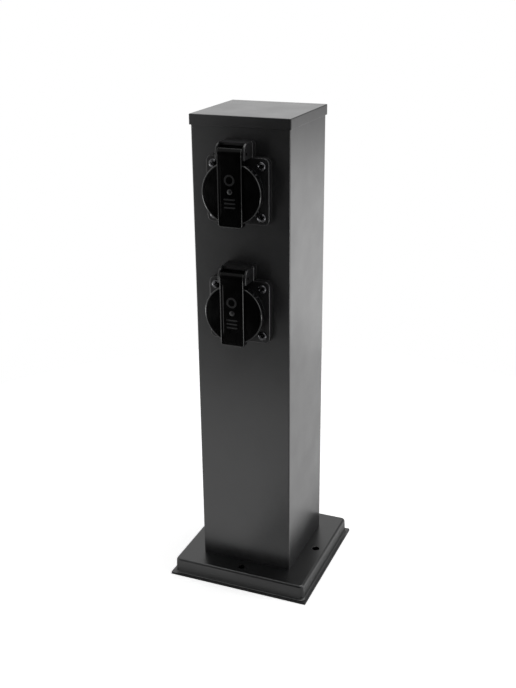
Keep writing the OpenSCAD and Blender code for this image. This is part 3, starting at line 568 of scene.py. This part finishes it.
def socket_moulding():
    """Flange, neck, hinge boss and round well of one socket."""
    body = rounded_plate(
        "flange", (-FLANGE_HALF, -FLANGE_HALF, FLANGE_BACK),
        (FLANGE_HALF, FLANGE_HALF, FLANGE_FRONT), corner=4.5, edge=0.9)
    neck_half, neck_foot, neck_top = 12.3, 15, 36.5
    unite(body, rounded_plate(
        "neck", (-neck_half, neck_foot, FLANGE_BACK), (neck_half, neck_top, FLANGE_FRONT),
        corner=1.5, edge=0.7, keep_low_corners=True))

    outer, inner, back, floor, mouth = 21, 19.5, -6, -3.8, 13.7
    well_room = 20.3
    cut(body, rod("well_room", (0, 0, 3), well_room, 12, sides=96))
    well = turned("well", [
        (0, back), (outer, back), (outer, mouth - 0.35), (outer - 0.15, mouth - 0.1),
        (outer - 0.4, mouth), (inner + 0.4, mouth), (inner + 0.15, mouth - 0.1),
        (inner, mouth - 0.35), (inner, floor), (0, floor)])
    unite(body, well, hinge_boss())

    rib_in, rib_out, rib_half, rib_back, rib_front = 16.5, 20.2, 2.7, -4.2, 11.2
    rib_edge = 0.5
    for turn in (math.pi, 0):
        rib = slab("rib", (rib_in, -rib_half, rib_back), (rib_out, rib_half, rib_front))
        round_edges(rib, rib_edge, 2, lambda middle, along: middle.z > rib_back + NEAR
                    and (middle.x < rib_in + NEAR or middle.z > rib_front - NEAR))
        unite(body, shifted(rib, (0, 0, 0), (0, 0, turn)))

    insert_screw_hole, through = 1.65, 6
    holes = [rod("hole", (x * SCREW_AT, y * SCREW_AT, 3), SCREW_HOLE, through, sides=32)
             for x, y in CORNERS]
    holes += [rod("hole", (x, 0, -5), r, through, sides=40)
              for x, r in ((-PIN_AT, PIN_HOLE), (PIN_AT, PIN_HOLE), (0, insert_screw_hole))]
    clip_at, clip_half, clip_thick = 18, 3.1, 0.5
    holes += [slab("hole", (-clip_half, y - clip_thick, -8), (clip_half, y + clip_thick, -2))
              for y in (-clip_at, clip_at)]
    cut(body, joined("holes", holes))
    return smooth_surface(body)


PANEL_LOW, PANEL_HIGH = -16.2, 24.4
PANEL_WALL, PANEL_DEPTH, PANEL_RAMP = 0.18, 0.42, 2.6
STRAP_HALF, STRAP_FOOT, STRAP_BACK, STRAP_FRONT = 9.6, -25.0, 14, 20.5
TAB_CORNER = 2.5


def on_rim(middle):
    """True on the strap's outline round its finger tab."""
    if middle.y < STRAP_FOOT + TOUCHING:
        return True
    reach = Vector((abs(middle.x) - STRAP_HALF + TAB_CORNER, STRAP_FOOT + TAB_CORNER - middle.y))
    return reach.x > 0 and reach.y > 0 and abs(reach.length - TAB_CORNER) < NEAR


def lid_strap():
    """The raised strap across the lid, with its finger tab and a shallow panel."""
    margin, edge = 2.5, 1.0
    strap = slab("strap", (-STRAP_HALF, STRAP_FOOT, STRAP_BACK),
                 (STRAP_HALF, HINGE_UP, STRAP_FRONT))
    sink_faces(strap, margin, 0, lambda middle, normal: normal.z > SQUARE)
    for level, move in (
        (STRAP_FOOT + margin, PANEL_LOW - STRAP_FOOT - margin),
        (HINGE_UP - margin, PANEL_HIGH - HINGE_UP + margin),
    ):
        slide_edges(strap, move, lambda middle, along: crosswise(along)
                    and abs(middle.y - level) < TOUCHING)
    panel_middle = (PANEL_LOW + PANEL_HIGH) / 2
    sink_faces(strap, PANEL_WALL, PANEL_DEPTH, lambda middle, normal: normal.z > SQUARE
               and abs(middle.x) < 1 and abs(middle.y - panel_middle) < 1)
    for level, move in (
        (PANEL_LOW + PANEL_WALL, PANEL_RAMP),
        (PANEL_HIGH - PANEL_WALL, -PANEL_RAMP),
    ):
        slide_edges(strap, move, lambda middle, along: abs(middle.y - level) < NEAR
                    and middle.z < STRAP_FRONT - NEAR)
    round_edges(strap, TAB_CORNER, 8, lambda middle, along: upright(along)
                and middle.y < STRAP_FOOT + NEAR)
    return round_edges(strap, edge, 5, lambda middle, along: middle.z > STRAP_FRONT - TOUCHING
                       and middle.y < HINGE_UP - NEAR
                       and (abs(middle.x) > STRAP_HALF - TOUCHING or on_rim(middle)))


def lid_moulding():
    """Round lid with a rolled rim, strap and hinge barrel."""
    radius, roll, inner, front, inside, back = 23.5, 1.2, 22.2, 18, 16, 12
    rim_edge = 0.25
    rim = [(0, front)] + arc((radius - roll, front - roll), roll, 90, 0, 6)
    rim += [(radius, back + rim_edge), (radius - rim_edge, back), (inner + rim_edge, back),
            (inner, back + rim_edge), (inner, inside), (0, inside)]
    lid = turned("lid", rim, 128)

    barrel_length, barrel_flat, barrel_edge = 19.1, 4.2, 0.5
    barrel = rod("barrel", HINGE, BARREL_R, barrel_length, "X", 72)
    cut(barrel, slab("flat", (-12, HINGE_UP + barrel_flat, 5), (12, HINGE_UP + 9, 25)))
    round_edges(barrel, barrel_edge, 3, lambda middle, along:
                abs(middle.x) > barrel_length / 2 - NEAR)

    block_half, block_foot, block_back, block_front = 9.5, 20, 12.05, 19.6
    block = slab("hinge_block", (-block_half, block_foot, block_back),
                 (block_half, HINGE_UP - 0.4, block_front))
    strap = unite(lid_strap(), block)
    hollow_r, hollow_middle, hollow_depth = 22.7, 13.5, 6
    cut(strap, rod("hollow", (0, 0, hollow_middle), hollow_r, hollow_depth, sides=128))
    unite(lid, strap, barrel)
    pin_hole, coil_r, coil_length = 1.31, 3.0, 7.6
    leg_at, leg_r, leg_length = (-3, 26.4, 17.2), 0.6, 5.2
    cut(
        lid,
        rod("pin_hole", HINGE, pin_hole, PIN_REACH, "X", 32),
        rod("coil_room", HINGE, coil_r, coil_length, "X", 48),
        slab("coil_slot", (-coil_length / 2, 23.6, 8.1), (coil_length / 2, 35.4, HINGE_OUT)),
        rod("leg_room", leg_at, leg_r, leg_length, "Y", 24),
    )
    return smooth_surface(lid)


def strap_marks():
    """Plain raised marks in the strap's panel: a ring, a domed stud and three grip bars."""
    floor, height = 19.95, 20.42
    ring_at, ring_outer, ring_inner = 10.4, 4.1, 2.7
    ring = cut(
        rod("ring", (0, ring_at, (floor + height) / 2), ring_outer, height - floor, sides=48),
        rod("ring_room", (0, ring_at, floor), ring_inner, 4, sides=48))

    stud_at, stud_r = 1.9, 2.1
    dome = [(0, 0.25), (0.6, 0.22), (1.2, 0.1), (1.7, -0.1), (2.0, -0.3)]
    outline = [(r, height + rise) for r, rise in dome]
    outline += [(stud_r, floor + 0.05), (stud_r, floor), (0, floor)]
    stud = shifted(turned("stud", outline, 40), (0, stud_at, 0))

    bars_at, bar_half, bar_thick, bar_end, top_edge = (-3.6, -6.6, -9.6), 4.4, 0.55, 0.5, 0.12
    bars = [slab("bar", (-bar_half, y - bar_thick, floor), (bar_half, y + bar_thick, height))
            for y in bars_at]
    for bar in bars:
        round_edges(bar, bar_end, 4, lambda middle, along: upright(along))
    flat = joined("marks", [ring] + bars)
    round_edges(flat, top_edge, 2, lambda middle, along: middle.z > height - TOUCHING)
    return smooth_surface(joined("marks", [flat, stud]), 40)


def panel_screw():
    """A pan-head screw with a cross recess, its head on the flange."""
    crown, dome_r, dome_sunk = 2.4, 5.04, 2.64
    head_r, shank_r, tip_r, tip = 3.5, 1.95, 1.5, -11
    outline = [(0, crown)]
    outline += [(r, math.sqrt(dome_r ** 2 - r ** 2) - dome_sunk)
                for r in (0.8, 1.6, 2.3, 2.9, 3.25)]
    outline += [(3.45, 0.95), (head_r, 0.8), (head_r, 0.12), (3.38, 0), (shank_r, 0),
                (shank_r, -10.4), (tip_r, tip), (0, tip)]
    screw = turned("screw", outline, 48)
    bar_half, bar_thick, bar_floor, bar_top = 2.3, 0.8, 1.5, 2.75
    floor_share = (0.5, 0.15, 1)
    for turn in (0, math.pi / 2):
        bar = slab("cross", (-bar_half, -bar_thick, bar_floor), (bar_half, bar_thick, bar_top))
        choose(bar, "FACE", lambda middle, normal: normal.z < -SQUARE)
        bpy.ops.transform.resize(value=floor_share)
        close_mesh(bar)
        cut(screw, shifted(bar, (0, 0, 0), (0, 0, turn)))
    return smooth_surface(screw, 30)


SCREW_STOPS = (20, 65, 38, 80)
MORE_TURN = {"upper": 0, "lower": 25}


def screw_set(screw, place):
    """Four copies of the screw at the flange's corners, each stopped at its own angle."""
    copies = []
    for (x, y), stop in zip(CORNERS, SCREW_STOPS):
        twin = copied(screw, "screw_copy")
        turn = math.radians(stop + MORE_TURN[place])
        copies.append(shifted(twin, (x * SCREW_AT, y * SCREW_AT, FLANGE_FRONT), (0, 0, turn)))
    return joined(place + "_panel_screws", copies)


finish_piece(foot_plate(), "base_paint", "post", "base_plate")
finish_piece(folded_cap(), "post_paint", "post", "top_cap")

moulding = socket_moulding()
cover = lid_moulding()
marks = strap_marks()
screw = panel_screw()
for place in SOCKET_HEIGHTS:
    body = place + "_cover"
    finish_piece(in_socket(copied(moulding, place + "_socket_moulding"), place),
                 "housing_plastic", "post", place + "_socket_housing")
    finish_piece(in_socket(copied(cover, place + "_cover_moulding"), place),
                 "lid_plastic", body, place + "_lid")
    finish_piece(in_socket(copied(marks, place + "_cover_marks"), place),
                 "housing_plastic", body)
    finish_piece(in_socket(screw_set(screw, place), place),
                 "black_steel", "post", place + "_flange_screws")
for pattern in (moulding, cover, marks, screw):
    bpy.data.objects.remove(pattern)


# Floor, studio light and world, in metres

FLOOR_R, FLOOR_DROP = 0.5, 0.0002
PAPER_TONE, PAPER_ROUGHNESS, PAPER_GLOW = 0.86, 0.9, 0.65
GLOW_FROM, GLOW_FULL = 0.0614, 0.0618
WORLD_LIGHT, WORLD_SEEN, WORLD_GLOSS = 0.2, 0.8, 0.62
POST_MIDDLE = (0, 0, 0.195)

# Name, place, size, turn in degrees and brightness
CARDS = (
    ("dark_flag", (0.205, -0.63, 0.32), (1.09, 0.84), (90, 0, 0), 0.0),
    ("grey_flag", (-0.5, -0.72, 1.35), (0.9, 0.9), (-135, 0, -30), 0.2),
    ("right_edge_card", (0.85, -0.42, 0.0), (0.6, 0.56), (0, 0, 0), 6.0),
    ("left_edge_card", (-0.85, 0.1, 0.0), (0.6, 0.8), (0, 0, 0), 3.2),
    ("back_floor_card", (0.5, 1.1, -0.001), (1.1, 1.26), (0, 0, 0), 1.38),
    ("far_flag", (0.85, 2.2, 0.3), (1.6, 0.6), (90, 0, 0), 0.4),
    ("back_flag", (0.55, 0.95, 0.72), (0.8, 0.7), (90, 0, 0), 0.12),
    ("side_floor_card", (0.27, 0.2, 0.0004), (0.4, 0.5), (0, 0, 0), 1.0),
    ("front_floor_card", (-0.235, -0.25, 0.0004), (0.44, 0.34), (0, 0, 0), 0.93),
    ("front_strip_card", (0.0, -0.0815, 0.0002), (0.2, 0.026), (0, 0, 0), 0.6),
)

# Name, place, size and power in watts
LAMPS = (
    ("overhead_softbox", (0.1, 0.25, 1.7), (1.4, 1.4), 12),
    ("right_softbox", (1.5, 0.5, 0.8), (1.0, 1.2), 6),
)


def math_node(nodes, action):
    node = nodes.new("ShaderNodeMath")
    node.operation = action
    return node


def pale_floor():
    """Pale paper that glows for the camera outside the foot's square, and keeps the shadow."""
    clear_selection()
    bpy.ops.mesh.primitive_circle_add(
        vertices=96, radius=FLOOR_R, fill_type="NGON", location=(0, 0, -FLOOR_DROP))
    floor = settle(named("pale_floor"))
    paper = bpy.data.materials.new("pale_paper")
    paper.use_nodes = True
    nodes, links = paper.node_tree.nodes, paper.node_tree.links
    shader = nodes["Principled BSDF"]
    shader.inputs["Base Color"].default_value = (PAPER_TONE, PAPER_TONE, PAPER_TONE, 1)
    shader.inputs["Roughness"].default_value = PAPER_ROUGHNESS
    spot = nodes.new("ShaderNodeTexCoord")
    apart = nodes.new("ShaderNodeSeparateXYZ")
    links.new(spot.outputs["Object"], apart.inputs["Vector"])
    reach = math_node(nodes, "MAXIMUM")
    for number, axis in enumerate("XY"):
        size = math_node(nodes, "ABSOLUTE")
        links.new(apart.outputs[axis], size.inputs[0])
        links.new(size.outputs["Value"], reach.inputs[number])
    clear_of_foot = nodes.new("ShaderNodeMapRange")
    clear_of_foot.inputs["From Min"].default_value = GLOW_FROM
    clear_of_foot.inputs["From Max"].default_value = GLOW_FULL
    clear_of_foot.inputs["To Max"].default_value = PAPER_GLOW
    links.new(reach.outputs["Value"], clear_of_foot.inputs["Value"])
    path = nodes.new("ShaderNodeLightPath")
    level = math_node(nodes, "MULTIPLY")
    links.new(path.outputs["Is Camera Ray"], level.inputs[0])
    links.new(clear_of_foot.outputs["Result"], level.inputs[1])
    glow = nodes.new("ShaderNodeEmission")
    links.new(level.outputs["Value"], glow.inputs["Strength"])
    both = nodes.new("ShaderNodeAddShader")
    links.new(shader.outputs["BSDF"], both.inputs[0])
    links.new(glow.outputs["Emission"], both.inputs[1])
    links.new(both.outputs["Shader"], nodes["Material Output"].inputs["Surface"])
    floor.data.materials.append(paper)


def studio_card(name, place, size, turn, tone):
    """A flat dark or lit card that shows only in reflections."""
    clear_selection()
    bpy.ops.mesh.primitive_plane_add(size=1)
    card = named(name)
    card.scale = (*size, 1)
    card.rotation_euler = [math.radians(angle) for angle in turn]
    card.location = place
    settle(card)
    felt = bpy.data.materials.new(name)
    felt.use_nodes = True
    shader = felt.node_tree.nodes["Principled BSDF"]
    shader.inputs["Base Color"].default_value = (0, 0, 0, 1)
    shader.inputs["Specular IOR Level"].default_value = 0
    shader.inputs["Emission Color"].default_value = (1, 1, 1, 1)
    shader.inputs["Emission Strength"].default_value = tone
    card.data.materials.append(felt)
    card.visible_camera = False
    card.visible_diffuse = False
    card.visible_shadow = False


def white_world():
    """A dim white world that looks white to the camera and pale in reflections."""
    world = bpy.data.worlds.new("white_studio")
    bpy.context.scene.world = world
    world.use_nodes = True
    nodes, links = world.node_tree.nodes, world.node_tree.links
    back = nodes["Background"]
    back.inputs["Color"].default_value = (1, 1, 1, 1)
    path = nodes.new("ShaderNodeLightPath")
    seen = math_node(nodes, "MAXIMUM")
    links.new(path.outputs["Is Camera Ray"], seen.inputs[0])
    links.new(path.outputs["Is Transmission Ray"], seen.inputs[1])
    with_seen = math_node(nodes, "MULTIPLY_ADD")
    links.new(seen.outputs["Value"], with_seen.inputs[0])
    with_seen.inputs[1].default_value = WORLD_SEEN
    with_seen.inputs[2].default_value = WORLD_LIGHT
    strength = math_node(nodes, "MULTIPLY_ADD")
    links.new(path.outputs["Is Glossy Ray"], strength.inputs[0])
    strength.inputs[1].default_value = WORLD_GLOSS
    links.new(with_seen.outputs["Value"], strength.inputs[2])
    links.new(strength.outputs["Value"], back.inputs["Strength"])


def soft_lamp(name, place, size, watts):
    """A rectangular lamp turned towards the post's middle."""
    light = bpy.data.lights.new(name, "AREA")
    light.shape = "RECTANGLE"
    light.size, light.size_y = size
    light.energy = watts
    lamp = bpy.data.objects.new(name, light)
    bpy.context.scene.collection.objects.link(lamp)
    lamp.location = place
    towards = Vector(place) - Vector(POST_MIDDLE)
    lamp.rotation_euler = towards.to_track_quat("Z", "Y").to_euler()
    lamp.visible_camera = False


pale_floor()
for card in CARDS:
    studio_card(*card)
white_world()
for lamp in LAMPS:
    soft_lamp(*lamp)

bpy.context.scene.view_settings.view_transform = "Standard"
